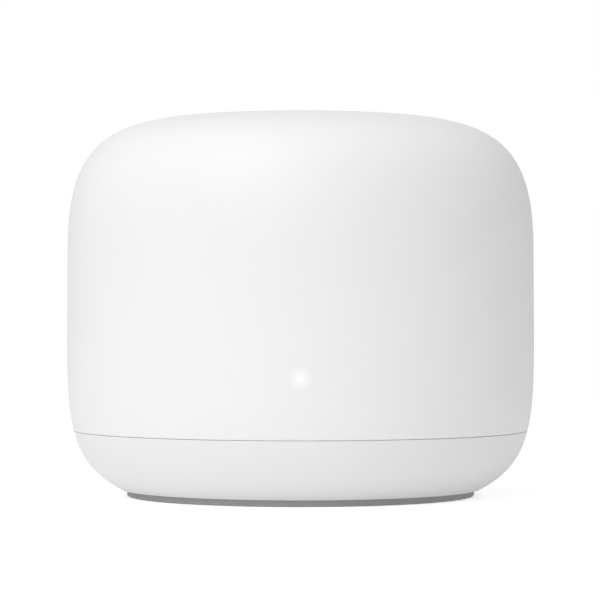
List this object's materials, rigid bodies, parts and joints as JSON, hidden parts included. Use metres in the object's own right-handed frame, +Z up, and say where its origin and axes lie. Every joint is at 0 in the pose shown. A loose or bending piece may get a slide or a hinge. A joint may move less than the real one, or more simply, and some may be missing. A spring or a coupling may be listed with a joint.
{
  "type": "wireless router",
  "caption": "Round table-top wireless router: white barrelled housing with one low seam, a rubber foot, a front status light, a rear port bay and a sprung reset button underneath.",
  "frame": {"origin": "centre of the underside of the rubber foot, on the housing's axis, at the table's surface", "axes": "+Z up along the housing's axis; +Y to the back, the way a plug leaves its socket; the status light faces -Y"},
  "size_m": [0.1102, 0.1102, 0.0904],
  "materials": {
    "shell_white": "fine matte moulded",
    "base_white": "fine matte moulded",
    "foot_grey": "matte silicone",
    "label_white": "satin",
    "bezel_white": "fine matte moulded",
    "tinned_steel": "bright tinned",
    "socket_black": "satin",
    "contact_gold": "gold flash",
    "part_black": "moulded epoxy",
    "board_green": "solder mask",
    "cast_aluminium": "as cast",
    "screw_steel": "zinc plated",
    "heat_pad_grey": "soft gel pad",
    "capacitor_can": "satin",
    "frame_grey": "moulded",
    "led_white": "moulded lens",
    "clear_pipe": "clear acrylic",
    "ribbon_amber": "polyimide film",
    "aerial_brass": "stamped",
    "lead_black": "extruded jacket"
  },
  "bodies": {
    "housing": {"top_shell": "shell_white", "base_shell": "base_white", "foot_ring": "foot_grey", "rating_label": "label_white", "port_bezel": "bezel_white", "wan_socket_shield": "tinned_steel", "lan_socket_shield": "tinned_steel", "wan_socket_insert": "socket_black", "lan_socket_insert": "socket_black", "wan_socket_contacts": "contact_gold", "lan_socket_contacts": "contact_gold", "wan_transformer": "part_black", "lan_transformer": "part_black", "power_inlet_body": "socket_black", "power_inlet_pin": "tinned_steel", "main_board": "board_green", "heat_sink": "cast_aluminium", "heat_sink_screws": "screw_steel", "aerial_frame_screws": "screw_steel", "processor_shield": "tinned_steel", "radio_left_shield": "tinned_steel", "radio_right_shield": "tinned_steel", "processor_heat_pad": "heat_pad_grey", "radio_left_heat_pad": "heat_pad_grey", "radio_right_heat_pad": "heat_pad_grey", "processor_chip": "part_black", "memory_chip": "part_black", "flash_chip": "part_black", "radio_chip_left": "part_black", "radio_chip_right": "part_black", "amplifiers_left": "part_black", "amplifiers_right": "part_black", "mesh_radio_chip": "part_black", "capacitors": "capacitor_can", "power_coils": "part_black", "aerial_frame": "frame_grey", "light_board": "board_green", "status_led": "led_white", "light_holder": "socket_black", "light_pipe": "clear_pipe", "light_ribbon": "ribbon_amber", "ribbon_connector": "label_white", "reset_switch_body": "socket_black", "coax_plugs": "contact_gold", "aerial_mesh": "aerial_brass", "aerial_lead_mesh": "lead_black", "aerial_back_right": "aerial_brass", "aerial_lead_back_right": "lead_black", "aerial_back_left": "aerial_brass", "aerial_lead_back_left": "lead_black", "aerial_front_left": "aerial_brass", "aerial_lead_front_left": "lead_black", "aerial_front_right": "aerial_brass", "aerial_lead_front_right": "lead_black"},
    "reset_button": {"reset_button": "base_white"},
    "switch_plunger": {"reset_switch_plunger": "label_white"}
  },
  "joints": [
    {"name": "reset_press", "type": "slide", "parent": "housing", "child": "reset_button", "axis": [0, 0, 1], "range_m": [0, 0.0005], "stiffness_N_per_m": 2000, "springref_m": -0.0003},
    {"name": "switch_press", "type": "slide", "parent": "housing", "child": "switch_plunger", "axis": [0, 0, 1], "range_m": [0, 0.0005]}
  ],
  "couplings": [
    {"joint": "switch_press", "follows": "reset_press", "ratio": 1}
  ]
}
